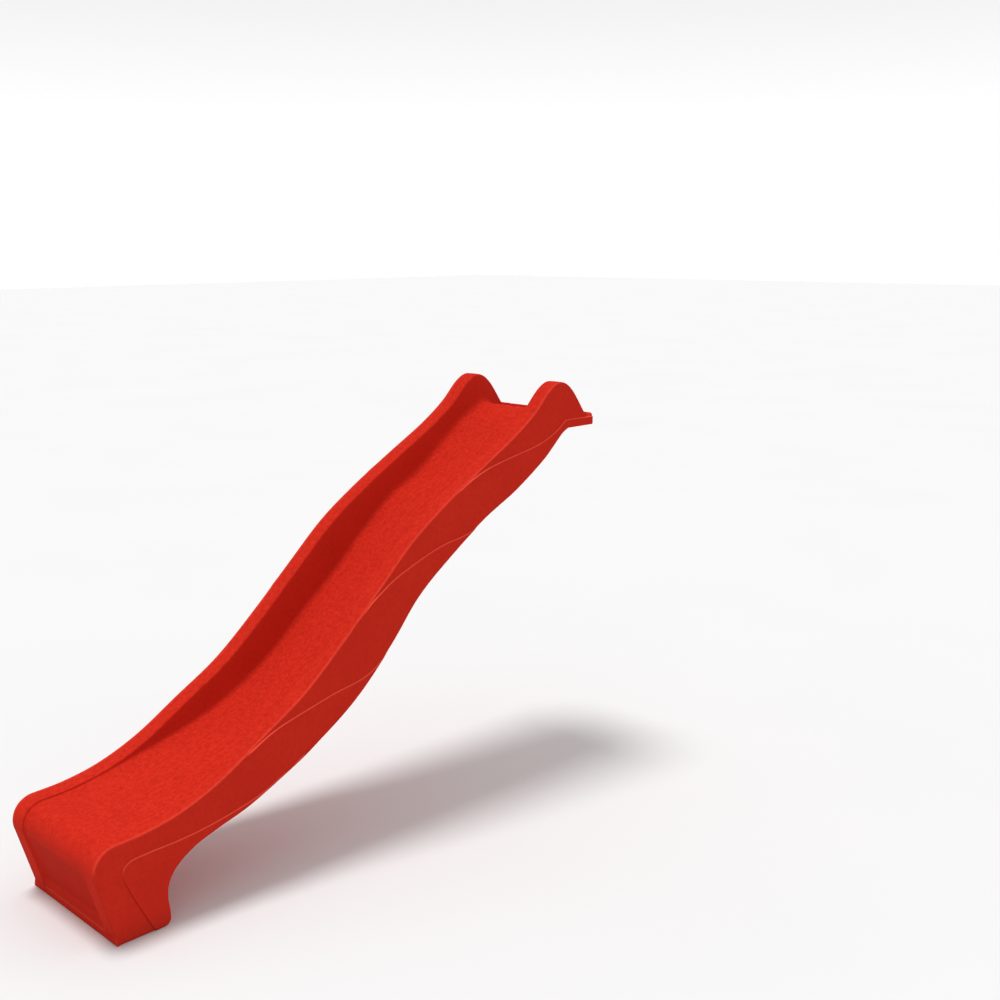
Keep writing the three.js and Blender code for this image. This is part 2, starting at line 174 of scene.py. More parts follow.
# fittings
SCREW_XS = (-170.0, 0.0, 170.0)
SCREW_Y = 2333.0
POCKET_FLOOR = 1513.0
INLET_Y = 2285.0
PLUG_XS = (-120.0, 120.0)
PLUG_Y, PLUG_Z = 193.8, 95.0
DRAIN_Z = 30.0
GAP = 0.3
SIDES = ("left", "middle", "right")
WASHER_THICK, SEAL_THICK, NUT_THICK = 1.6, 1.4, 8.0

# edges that turn by more degrees than this are kept sharp
SHARP_SMALL, SHARP_BODY, SHARP_CUT = 35, 60, 38

RUN_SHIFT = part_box("slide_body")[1].y / MM - LIP_END

# ------------------------------------------------------------------ colours, light and camera

# linear red, green, blue and alpha, dark and light where there are two
RED = (0.512, 0.0215, 0.0110, 1), (0.552, 0.0235, 0.0120, 1)
GRAIN_RED = (0.385, 0.0100, 0.0040, 1), (0.69, 0.0315, 0.0155, 1)
# darker red painted on the front panel as painted shade
PAINTED_FRONT_SHADE_RED = (0.45, 0.0180, 0.0090, 1)
STREAK_RED = (0.68, 0.028, 0.014, 1)
SCUFF_RED = (0.70, 0.045, 0.028, 1)
# painted highlight and painted shade for rail edges and step ledges
PAINTED_HIGHLIGHT_RED = (0.95, 0.105, 0.065, 1)
PAINTED_SHADE_RED = (0.22, 0.0080, 0.0040, 1)
# darker, browner colour low on the foot
LOW_DARK_RED = (0.30, 0.035, 0.022, 1)
COVER_RED = (0.38, 0.008, 0.005, 1), (0.50, 0.013, 0.008, 1)
PLUG_RED = (0.24, 0.008, 0.006, 1), (0.33, 0.011, 0.008, 1)
BLACK = (0.018, 0.018, 0.02, 1), (0.035, 0.035, 0.038, 1)
RUBBER = (0.01, 0.01, 0.011, 1), (0.022, 0.022, 0.024, 1)
ZINC = (0.47, 0.48, 0.5, 1), (0.68, 0.69, 0.7, 1)
FLOOR_GREY = (0.73, 0.73, 0.73, 1), (0.76, 0.76, 0.76, 1)
SKY_WHITE = (1.0, 1.0, 1.0, 1)

# from this much upward, to this much, the sky goes from this strength to this one
SKY_FADE = (0.10, 0.35, 1.0, 0.66)
# the same towards the front, which is darker
FRONT_FADE = (-0.95, -0.15, 0.78, 1.0)
KEY_DIRECTION = (0.16, 0.14, -1.0)
KEY_SPREAD = 18.0
KEY_STRENGTH = 2.02
FLOOR_SIZE = 60.0

# metres and degrees: the photo's viewing angle
CAMERA_AT = (3.959, -3.0745, 2.284)
CAMERA_YAW, CAMERA_PITCH, CAMERA_ROLL = 44.61, 7.03, -0.28
CAMERA_LENS, CAMERA_SENSOR = 46.1, 36.0
CAMERA_SHIFT = -0.10


# ------------------------------------------------------------------ side-view outlines


def smoothstep(value, low, high):
    t = np.clip((np.asarray(value, float) - low) / (high - low), 0, 1)
    return t * t * (3 - 2 * t)


def spline(points, samples=24):
    """A centripetal curve through the points."""
    pts = np.array(points, float)
    pts = np.vstack([2 * pts[0] - pts[1], pts, 2 * pts[-1] - pts[-2]])
    pieces = []
    t = np.linspace(0, 1, samples, endpoint=False)[:, None]
    for p0, p1, p2, p3 in zip(pts, pts[1:], pts[2:], pts[3:]):
        d0, d1, d2 = (
            math.sqrt(np.linalg.norm(b - a)) for a, b in ((p0, p1), (p1, p2), (p2, p3))
        )
        m1 = ((p1 - p0) / d0 - (p2 - p0) / (d0 + d1) + (p2 - p1) / d1) * d1
        m2 = ((p2 - p1) / d1 - (p3 - p1) / (d1 + d2) + (p3 - p2) / d2) * d1
        square = -3 * p1 + 3 * p2 - 2 * m1 - m2
        cube = 2 * p1 - 2 * p2 + m1 + m2
        pieces.append(p1 + m1 * t + square * t**2 + cube * t**3)
    pieces.append(pts[-2][None])
    return np.vstack(pieces)


def eased(points, sigma, spacing=3.0):
    """Evens out a line's curvature. Both ends stay where they are."""
    points = np.array(points, float)
    steps = np.linalg.norm(np.diff(points, axis=0), axis=1)
    lengths = np.concatenate([[0], np.cumsum(steps)])
    places = np.linspace(0, lengths[-1], int(round(lengths[-1] / spacing)) + 1)
    line = np.column_stack([np.interp(places, lengths, points[:, k]) for k in range(2)])
    reach = min(int(3 * sigma / spacing) + 1, len(line) - 1)
    kernel = np.exp(-0.5 * (np.arange(-reach, reach + 1) * spacing / sigma) ** 2)
    kernel /= kernel.sum()
    head = 2 * line[0] - line[reach:0:-1]
    tail = 2 * line[-1] - line[-2 : -reach - 2 : -1]
    padded = np.vstack([head, line, tail])
    return np.column_stack([np.convolve(padded[:, k], kernel, "valid") for k in range(2)])


def arc(cy, cz, radius, start, end, steps):
    angles = np.radians(np.linspace(start, end, steps + 1))
    return np.column_stack([cy + radius * np.cos(angles), cz + radius * np.sin(angles)])


class Outline:
    def __init__(self, points):
        self.points = np.array(points, float)
        self.steps = np.diff(self.points, axis=0)
        self.lengths = np.concatenate([[0], np.cumsum(np.linalg.norm(self.steps, axis=1))])

    def at(self, length):
        return np.array([np.interp(length, self.lengths, self.points[:, k]) for k in range(2)])

    def nearest(self, targets):
        """For each target: distance, side (positive to the right of travel) and length along."""
        distance = np.full(len(targets), np.inf)
        side = np.zeros(len(targets))
        along = np.zeros(len(targets))
        for start, step, length in zip(self.points, self.steps, self.lengths):
            size = step @ step
            if size == 0:
                continue
            share = np.clip((targets - start) @ step / size, 0, 1)
            off = targets - start - share[:, None] * step
            d = np.hypot(off[:, 0], off[:, 1])
            closer = d < distance
            turn = step[1] * off[:, 0] - step[0] * off[:, 1]
            distance = np.where(closer, d, distance)
            side = np.where(closer, np.sign(turn), side)
            along = np.where(closer, length + share * math.sqrt(size), along)
        return distance, side, along

    def find(self, point):
        return self.nearest(np.array([point], float))[2][0]

    def crossing(self, origin, direction):
        """How far along a ray the outline is first crossed."""
        offset = self.points[:-1] - origin
        cross = direction[0] * self.steps[:, 1] - direction[1] * self.steps[:, 0]
        safe = np.where(np.abs(cross) < 1e-9, 1e-9, cross)
        along = (offset[:, 0] * self.steps[:, 1] - offset[:, 1] * self.steps[:, 0]) / safe
        share = (offset[:, 0] * direction[1] - offset[:, 1] * direction[0]) / safe
        valid = (share >= -1e-6) & (share <= 1 + 1e-6) & (along > 0)
        return along[valid].min() if valid.any() else math.nan


def face_angle():
    """Direction of the leaning front face, from its foot to where it meets the nose."""
    rise = NOSE_Z - FACE_START
    lean = math.asin(NOSE_RADIUS / math.hypot(NOSE_Y, rise))
    return math.degrees(math.atan2(rise, NOSE_Y) + lean)


def nose(depth):
    return arc(NOSE_Y, NOSE_Z, NOSE_RADIUS - depth, face_angle() + 90, NOSE_END, 40)


def rail_outline():
    front = nose(0)
    run = eased(spline([front[-1], *RAIL_POINTS]), RUN_EASE)
    rim = eased([
        (RIM_START - 3, LIP_TOP), (RIM_START + 3, LIP_RIM), (LIP_END - 3, LIP_RIM),
        (LIP_END, LIP_RIM - 3),
    ], RIM_EASE, 0.5)
    return Outline(np.vstack([[(0, 3), (0, FACE_START)], front, run[1:], rim]))


def floor_outline():
    front = nose(PANEL_DEPTH)
    run = eased(spline([front[-1], *FLOOR_POINTS]), RUN_EASE)
    base = eased([
        (STRIP_SET_BACK, -5), (STRIP_SET_BACK, STRIP_TOP), (BAND_SET_BACK / 2, BAND_BOTTOM),
        (BAND_SET_BACK, BAND_TOP), front[0],
    ], BASE_EASE, 0.75)
    rim = eased([
        (RIM_START - 4, LIP_TOP - 1), (RIM_START + 3, LIP_RIM - 0.5),
        (LIP_END - 3, LIP_RIM - 0.5), (LIP_END + 1, LIP_RIM - 5),
    ], RIM_EASE, 0.5)
    return Outline(np.vstack([base[:-1], front, run[1:], rim]))


def bottom_outline():
    heel = arc(HEEL_Y, HEEL_RADIUS, HEEL_RADIUS, -90, 0, 12)
    back = eased(spline([heel[-1], *BOTTOM_POINTS]), RUN_EASE)
    return Outline(np.vstack([[(3, 0)], heel, back[1:], [(LIP_END, LIP_BOTTOM)]]))


RAIL = rail_outline()
FLOOR = floor_outline()
BOTTOM = bottom_outline()
STEPS = [(Outline(eased(spline(knots), STEP_EASE)), growth) for knots, growth in STEP_LINES]


def raised(points):
    """How far the side panel stands out at each (y, z), because of the steps moulded into it,
    and how much painted highlight each step's ledge gets."""
    out = np.zeros(len(points))
    ledge_highlight = np.zeros(len(points))
    for step, growth in STEPS:
        distance, side, along = step.nearest(points)
        inside = np.where(side > 0, distance, 0)
        rise = smoothstep(inside, 0, STEP_SLOPE) * (1 - smoothstep(inside, STEP_SLOPE, STEP_FADE))
        grown = smoothstep(along, 0, growth) if growth else 1
        out = np.maximum(out, STEP_RISE * rise * grown)
        off_middle = np.abs(inside - STEP_SLOPE / 2) / (LEDGE_SPREAD * STEP_SLOPE)
        ledge_highlight = np.maximum(ledge_highlight, np.clip(1 - off_middle, 0, 1) * grown * (side > 0))
    return out, ledge_highlight


# ------------------------------------------------------------------ sections of the body


def bend(start, control, end, count):
    t = np.linspace(0, 1, count + 2)[1:-1, None]
    a, b, c = (np.array(p, float) for p in (start, control, end))
    return (1 - t) ** 2 * a + 2 * t * (1 - t) * b + t**2 * c


def line(start, end, count):
    """count points from start up to, and not including, end."""
    t = np.linspace(0, 1, count, endpoint=False)[:, None]
    return np.array(start, float) + t * (np.array(end, float) - np.array(start, float))


def half_section(top, direction, height):
    """Right half of a section as (x, depth), from the floor round to the underside, plus the
    index of the first point on the side panel."""
    rail_inner = HALF_WIDTH - RAIL_WIDTH
    depth = FLOOR.crossing(top, direction)
    depth = 1.0 if math.isnan(depth) else max(depth, 1.0)
    low_y, low_z = top + direction * height
    hollow = smoothstep(low_z, *RECESS_STARTS) * (1 - smoothstep(low_y, *RECESS_ENDS))
    recess = hollow * min(max(height - depth - FLOOR_BACKING, 0), RECESS_DEPTH)
    growth = smoothstep(top[0], *FILLET_GROWS)
    fillet = FLOOR_FILLET_LOW + (FLOOR_FILLET_HIGH - FLOOR_FILLET_LOW) * growth
    fillet = min(fillet, depth * 0.5)
    inner = min(RAIL_INNER_ROUND, depth * 0.4)
    rim = smoothstep(top[0], RIM_START - 6, RIM_START + 3)
    front = 1 - smoothstep(RAIL.find(top), *FRONT_CORNER_ENDS)
    outer = RAIL_OUTER_ROUND + (RIM_CORNER - RAIL_OUTER_ROUND) * rim
    outer += (FRONT_CORNER - RAIL_OUTER_ROUND) * front
    outer = min(outer, height * 0.4)
    low = min(BOTTOM_ROUND, height * 0.2)
    edge = rail_inner - DRAFT * depth
    floor_end = (edge - fillet, depth)
    wall_start = (edge + DRAFT * fillet, depth - fillet)
    wall_end = (rail_inner - DRAFT * inner, inner)
    crest_start = (rail_inner + inner, 0)
    crest_end = (HALF_WIDTH - outer, 0)
    beam = HALF_WIDTH - BEAM_WIDTH
    crest = line(crest_start, crest_end, CREST_COUNT)
    swell = np.sin(np.linspace(0, math.pi, CREST_COUNT, endpoint=False))
    crest[:, 1] -= RAIL_CROWN * (1 - rim) * swell
    inside = [
        line((0, depth), floor_end, FLOOR_COUNT), [floor_end],
        bend(floor_end, (edge, depth), wall_start, FILLET_COUNT),
        line(wall_start, wall_end, INNER_COUNT), [wall_end],
        bend(wall_end, (rail_inner, 0), crest_start, CORNER_COUNT), crest, [crest_end],
        bend(crest_end, (HALF_WIDTH, 0), (HALF_WIDTH, outer), EDGE_COUNT),
    ]
    rows = np.linspace(outer, height - low, WALL_COUNT)
    panel = np.column_stack([np.full(WALL_COUNT, HALF_WIDTH), rows])
    slope = np.linspace(0, 1, RECESS_COUNT)
    recess_wall = np.column_stack([
        beam - slope * RECESS_SLOPE, height - recess * smoothstep(slope, 0, 1),
    ])
    panel_end, bottom_start = (HALF_WIDTH, height - low), (HALF_WIDTH - low, height)
    belly = line((beam - RECESS_SLOPE, height - recess), (0, height - recess), BELLY_COUNT)
    underside = [
        bend(panel_end, (HALF_WIDTH, height), bottom_start, EDGE_COUNT),
        line(bottom_start, (beam, height), UNDERSIDE_COUNT), recess_wall, belly[1:],
        [(0, height - recess)],
    ]
    parts = [np.array(part, float) for part in [*inside, panel, *underside]]
    return np.vstack(parts), sum(len(part) for part in inside)


def stations():
    places = []
    for (top, low, count), following in zip(PAIRS, [*PAIRS[1:], None]):
        top_from, low_from = RAIL.find(top), BOTTOM.find(low)
        top_to = RAIL.find(following[0]) if following else top_from
        low_to = BOTTOM.find(following[1]) if following else low_from
        for k in range(count):
            share = k / count
            places.append((
                RAIL.at(top_from + (top_to - top_from) * share),
                BOTTOM.at(low_from + (low_to - low_from) * share),
            ))
    return places


def mirrored(half):
    """Follows the right half of a ring by its left half, which shares both end points."""
    return np.concatenate([half, half[1:-1][::-1]])


def body_rings():
    """Rings of (x, y, z) in run coordinates, each with its points' weights and its place along
    the top edge. The weights say how far a point follows the steps, how much painted highlight
    or painted shade it gets at edges, and how far it is plain and gets the front panel's
    painted shade."""
    front_rise = math.sin(math.radians(face_angle() - 90))
    plain_and_shaded_end = NOSE_Z - (NOSE_RADIUS - PANEL_DEPTH) * front_rise
    rings = []
    for top, low in stations():
        height = np.linalg.norm(low - top)
        direction = (low - top) / height
        half, first = half_section(top, direction, height)
        last = first + WALL_COUNT
        place_on_top = RAIL.find(top)
        ring = np.vstack([half, (half * (-1, 1))[-2:0:-1]])
        points = np.column_stack([ring[:, 0], top + ring[:, 1:] * direction])
        floor_z = points[0, 2]
        panel, painted_edge_light, plain_and_shaded = np.zeros((3, len(half)))
        panel[first:last] = 1
        panel[last : last + len(PANEL_FADE)] = PANEL_FADE
        # painted highlight along the rail's outer edge, and along the lower strip's ledge on the
        # floor
        painted_edge_light[first - EDGE_COUNT - 1 : first + 1] = EDGE_PAINTED_LIGHT
        painted_edge_light[: FLOOR_COUNT + 1] = EDGE_PAINTED_LIGHT * (STRIP_LEDGE[0] < floor_z < STRIP_LEDGE[1])
        # the front panel is plain and gets painted shade
        plain_and_shaded[:PLAIN_AND_SHADED_COUNT] = BAND_TOP < floor_z < plain_and_shaded_end and place_on_top < NOSE_Z
        weights = np.column_stack([mirrored(panel), mirrored(painted_edge_light), mirrored(plain_and_shaded)])
        rings.append((points, weights, place_on_top))
    return rings


def end_ring(rings):
    """A smaller copy of the last ring, which rounds the lip's rear edges."""
    points = rings[-1][0].copy()
    middle = (points[:, 2].max() + points[:, 2].min()) / 2
    tall = (points[:, 2].max() - points[:, 2].min()) / 2
    points[:, 0] *= 1 - EDGE_ROUND / HALF_WIDTH
    points[:, 2] = middle + (points[:, 2] - middle) * (1 - EDGE_ROUND / tall)
    points[:, 1] = LIP_END
    rings.append((points, rings[-1][1], rings[-1][2] + EDGE_ROUND))


def raise_steps(mesh):
    """Cuts the faces near the steps finer, then moves the side panels out by the steps and gives
    their ledges a painted highlight.
    """
    bm = bmesh.new()
    bm.from_mesh(mesh)
    panel_x = HALF_WIDTH - 1
    faces = [
        f for f in bm.faces
        if len(f.verts) == 4 and abs(f.normal.x) > 0.99 and abs(f.calc_center_median().x) > panel_x
    ]
    centres = np.array([f.calc_center_median()[1:] for f in faces])
    near = np.full(len(faces), False)
    for step, _ in STEPS:
        distance, side, _ = step.nearest(centres)
        near |= distance < np.where(side > 0, STEP_REACH_BELOW, STEP_REACH_ABOVE)
    edges = list(dict.fromkeys(e for f, close in zip(faces, near) if close for e in f.edges))
    bmesh.ops.subdivide_edges(bm, edges=edges, cuts=STEP_CUTS, use_grid_fill=True)
    panel = bm.verts.layers.float["panel"]
    painted_edge_light = bm.verts.layers.float["painted_edge_light"]
    moving = [v for v in bm.verts if v[panel] > 0]
    offsets, ledge_highlights = raised(np.array([v.co[1:] for v in moving]))
    for v, offset, ledge_highlight in zip(moving, offsets, ledge_highlights):
        v.co.x += math.copysign(offset * v[panel], v.co.x)
        # painted highlight on the step's ledge
        v[painted_edge_light] = max(v[painted_edge_light], ledge_highlight)
    bm.to_mesh(mesh)
    bm.free()


def make_body():
    rings = body_rings()
    end_ring(rings)
    count = len(rings[0][0])
    coords = np.vstack([ring[0] for ring in rings])
    index = np.arange(len(coords)).reshape(len(rings), count)
    here, there = index[:-1], index[1:]
    quads = np.stack([here, there, np.roll(there, -1, 1), np.roll(here, -1, 1)], -1).reshape(-1, 4)
    faces = [*quads.tolist(), index[0].tolist(), index[-1][::-1].tolist()]
    mesh = bpy.data.meshes.new("slide_body_skin")
    mesh.from_pydata(coords.tolist(), [], faces)
    run = np.repeat([ring[2] for ring in rings], count)
    grain = np.column_stack([coords[:, 0], run, coords[:, 2]]) * MM
    mesh.attributes.new("grain", "FLOAT_VECTOR", "POINT").data.foreach_set("vector", grain.ravel())
    weights = np.ascontiguousarray(np.vstack([ring[1] for ring in rings]).T)
    for kind, values in zip(("panel", "painted_edge_light", "plain_and_shaded"), weights):
        mesh.attributes.new(kind, "FLOAT", "POINT").data.foreach_set("value", values)
    raise_steps(mesh)
    mesh.transform(Matrix.Scale(MM, 4) @ Matrix.Translation((0, RUN_SHIFT, 0)))
    return mesh


# ------------------------------------------------------------------ turned pieces


def turned(name, profile, segments=64, shape=None, closed=False):
    """Turns (radius, height) points round the Z axis. shape may change each point's radius."""
    rings, vertices, faces = [], [], []
    for radius, height in profile:
        if radius == 0:
            vertices.append((0, 0, height))
            rings.append([len(vertices) - 1] * segments)
            continue
        ring = []
        for k in range(segments):
            angle = 2 * math.pi * k / segments
            r = shape(radius, height, angle) if shape else radius
            vertices.append((r * math.cos(angle), r * math.sin(angle), height))
            ring.append(len(vertices) - 1)
        rings.append(ring)
    pairs = list(zip(rings, rings[1:])) + ([(rings[-1], rings[0])] if closed else [])
    for low, high in pairs:
        for k in range(segments):
            n = (k + 1) % segments
            face = list(dict.fromkeys([low[k], low[n], high[n], high[k]]))
            if len(face) > 2:
                faces.append(face)
    mesh = bpy.data.meshes.new(name)
    mesh.from_pydata([tuple(c * MM for c in v) for v in vertices], [], faces)
    mesh.validate()
    return mesh


def finish_mesh(mesh, sharp_degrees=SHARP_SMALL):
    """Outward faces, smooth shading and sharp edges where the surface turns quickly."""
    bm = bmesh.new()
    bm.from_mesh(mesh)
    bmesh.ops.remove_doubles(bm, verts=bm.verts, dist=1e-6)
    bmesh.ops.recalc_face_normals(bm, faces=bm.faces)
    if bm.calc_volume(signed=True) < 0:
        bmesh.ops.reverse_faces(bm, faces=bm.faces)
    bm.to_mesh(mesh)
    bm.free()
    mesh.polygons.foreach_set("use_smooth", [True] * len(mesh.polygons))
    mesh.set_sharp_from_angle(angle=math.radians(sharp_degrees))


FACING_BACK = Matrix.Rotation(-math.pi / 2, 4, "X")


def place(mesh, name, x=0.0, y=0.0, z=0.0, turn=None):
    obj = bpy.data.objects.new(name, mesh)
    bpy.context.scene.collection.objects.link(obj)
    matrix = Matrix.Translation(Vector((x, y + RUN_SHIFT, z)) * MM)
    mesh.transform(matrix @ turn if turn else matrix)
    finish_mesh(mesh)
    return obj


def round_corner(cx, cz, radius, start, end, steps=4):
    return [tuple(p) for p in arc(cx, cz, radius, start, end, steps)]


def cut(obj, cutters):
    """Subtracts the cutters from obj and keeps the result as its mesh."""
    for cutter in cutters:
        modifier = obj.modifiers.new("cut", "BOOLEAN")
        modifier.operation = "DIFFERENCE"
        modifier.solver = "MANIFOLD"
        modifier.object = cutter
    graph = bpy.context.evaluated_depsgraph_get()
    result = bpy.data.meshes.new_from_object(obj.evaluated_get(graph))
    obj.modifiers.clear()
    obj.data = result
    for cutter in cutters:
        bpy.data.objects.remove(cutter)
    obj.data.polygons.foreach_set("use_smooth", [True] * len(obj.data.polygons))
    obj.data.set_sharp_from_angle(angle=math.radians(SHARP_CUT))


def body_cutters():
    flare = LIP_TOP - 1
    pocket = [
        (0, 1460), (3.6, 1460), (3.6, POCKET_FLOOR), (15, POCKET_FLOOR), (15, flare - 1.2),
        (16.5, flare + 0.3), (20, flare + 30), (0, flare + 30),
    ]
    inlet = [(0, 1460), (10.4, 1460), (10.4, 1560), (0, 1560)]
    plug = [(0, -25), (6, -25), (6, 0), (13, 0), (13.6, 1.2), (16, 22), (0, 22)]
    drain = [(0, -30), (5, -30), (5, -1), (6.2, 0.3), (9, 22), (0, 22)]
    cutters = [place(turned("cutter", pocket), "cutter", x, SCREW_Y) for x in SCREW_XS]
    cutters.append(place(turned("cutter", inlet), "cutter", 0, INLET_Y))
    for x in PLUG_XS:
        cutters.append(place(turned("cutter", plug), "cutter", x, PLUG_Y, PLUG_Z, FACING_BACK))
    behind = 400.0
    surface = BOTTOM.crossing(np.array([behind, DRAIN_Z]), np.array([-1.0, 0.0]))
    drain_y = behind - surface
    cutters.append(place(turned("cutter", drain), "cutter", 0, drain_y, DRAIN_Z, FACING_BACK))
    return cutters


def wave(depth, count, angle):
    """Depth of one of count grooves spread evenly round a turned piece."""
    return depth * (0.5 + 0.5 * math.cos(angle * count))


def screw_mesh():
    pitch, core, crest = 4.0, 2.1, 3.0

    def thread(radius, height, angle):
        if radius != core or height < -70 or height > -30:
            return radius
        phase = (height / pitch - angle / (2 * math.pi)) % 1
        return core + (crest - core) * max(0.0, 1 - abs(phase - 0.5) * 4)

    threaded = [(core, -69.5 + 0.5 * k) for k in range(79)]
    profile = [
        (0, -74), (0.7, -73), (core, -70), *threaded, (2.2, -29.5), (2.2, 0), (6.6, 0), (7, 0.4),
        *round_corner(5.6, 1.8, 1.4, 0, 80), (3.6, 3.5), (3.4, 3.3), (3.1, 1.6), (0, 1.4),
    ]
    return turned("screw", profile, 40, thread)


def washer_mesh():
    ring = [
        (3.5, 0.2), (3.7, 0), (11.7, 0), (12, 0.3), (12, 1.3), (11.7, WASHER_THICK),
        (3.7, WASHER_THICK), (3.5, 1.4),
    ]
    return turned("washer", ring, 64, closed=True)


def cover_mesh():
    profile = [
        (12.6, 0), (13.8, 0), (13.8, 4.4), *round_corner(11.0, 4.6, 2.8, 0, 75), (6, 8.7), (0, 9.1),
        (0, 8), (9.2, 7.4), (11.6, 6.4), (12.6, 4.2),
    ]
    return turned("screw_cover", profile + [profile[0]], 72)


def plug_mesh():
    def ribbed(radius, height, angle):
        return radius - wave(0.25, 12, angle) if height < -0.5 else radius

    profile = [
        (0, -7), (4.4, -7), (5.6, -5), (5.6, 0), (10.8, 0), (11, 0.3), (11, 1.2),
        *round_corner(9.8, 1.2, 1.2, 10, 85), (4, 2.5), (3.4, 1.9), (0, 1.9),
    ]
    return turned("mould_plug", profile, 72, ribbed)


def spout_mesh():
    def fluted(radius, height, angle):
        if height < 1.5 or radius <= 15:
            return radius
        return radius - wave(0.35, 18, angle)

    profile = [
        (6, -57.5), (9.4, -57.5), (10, -56.9), (10, 0), (17, 0), (17.8, 0.4), (18, 1.1),
        (17.6, 2.2), (16.4, 3.2), (12.5, 4.4), (9, 5), (7, 5), (6.2, 4.6), (6, 4),
    ]
    return turned("water_spout", profile, 90, fluted, closed=True)


def seal_mesh():
    ring = [
        (10.4, 0.3), (10.7, 0), (17.2, 0), (17.5, 0.4), (17.5, 1.0), (17.2, SEAL_THICK),
        (10.7, SEAL_THICK), (10.4, 1.1),
    ]
    return turned("water_spout_seal", ring, 72, closed=True)


def nut_mesh():
    across, corner, chamfer = 16.0, 18.47, 1.6

    def hexagon(radius, height, angle):
        if radius < 11:
            return radius
        off_flat = angle % (math.pi / 3) - math.pi / 6
        cut_back = max(0.0, chamfer - min(height, NUT_THICK - height))
        return min(across / math.cos(off_flat), corner - 0.9 * cut_back)

    heights = (0, 0.4, 0.9, 1.6, 4, 6.4, 7.1, 7.6, NUT_THICK)
    rim = [(across, h) for h in heights]
    profile = [(10.3, 0.3), (10.6, 0), *rim, (10.6, NUT_THICK), (10.3, 7.7)]
    return turned("water_inlet_nut", profile, 96, hexagon, closed=True)


def nipple_mesh():
    def gripped(radius, height, angle):
        if radius < 12 or height > -1:
            return radius
        return radius - wave(0.4, 20, angle)

    profile = [
        (5, -44), (6.6, -44), *round_corner(7.0, -41.5, 1.0, -60, 0), (8, -34.4), (7.6, -34),
        (6.9, -33.6), (6.8, -33), (6.8, -29), (7.2, -28.4), (8.5, -28), (8.5, -18), (12.2, -16.2),
        (13.6, -14.4), (14, -13), (14, -1.2), (13.4, 0), (10.4, 0), (10.4, -10), (5, -12),
    ]
    return turned("hose_nipple", profile, 80, gripped, closed=True)


# ------------------------------------------------------------------ materials


class Shader:
    """A short way to build a node tree."""

    def __init__(self, name):
        self.material = bpy.data.materials.new(name)
        self.material.use_nodes = True
        self.nodes = self.material.node_tree.nodes
        self.links = self.material.node_tree.links
        self.bsdf = self.nodes["Principled BSDF"]

    def node(self, kind, inputs=None, **settings):
        node = self.nodes.new(kind)
        for key, value in settings.items():
            setattr(node, key, value)
        for key, value in (inputs or {}).items():
            self.feed(node.inputs[key], value)
        return node

    def feed(self, socket, value):
        if isinstance(value, bpy.types.NodeSocket):
            self.links.new(value, socket)
        else:
            socket.default_value = value

    def noise(self, vector, scale, detail=3.0, roughness=0.55):
        inputs = {"Vector": vector, "Scale": scale, "Detail": detail, "Roughness": roughness}
        return self.node("ShaderNodeTexNoise", inputs).outputs["Fac"]

    def remap(self, value, low, high, out_low, out_high):
        inputs = {"Value": value, 1: low, 2: high, 3: out_low, 4: out_high}
        return self.node("ShaderNodeMapRange", inputs).outputs["Result"]

    def math(self, operation, a, b):
        return self.node("ShaderNodeMath", {0: a, 1: b}, operation=operation).outputs[0]

    def mix(self, factor, a, b):
        inputs = {"Factor": factor, "A": a, "B": b}
        node = self.nodes.new("ShaderNodeMix")
        node.data_type = "RGBA"
        for socket in node.inputs:
            if socket.name in inputs and socket.enabled:
                self.feed(socket, inputs[socket.name])
        return next(s for s in node.outputs if s.enabled)

    def blend(self, a, share_a, b, share_b):
        first, second = self.math("MULTIPLY", a, share_a), self.math("MULTIPLY", b, share_b)
        return self.math("ADD", first, second)

    def scaled(self, vector, factors):
        node = self.node("ShaderNodeVectorMath", {0: vector, 1: factors}, operation="MULTIPLY")
        return node.outputs[0]

    def bump(self, height, strength, distance):
        inputs = {"Height": height, "Strength": strength, "Distance": distance}
        return self.node("ShaderNodeBump", inputs).outputs["Normal"]


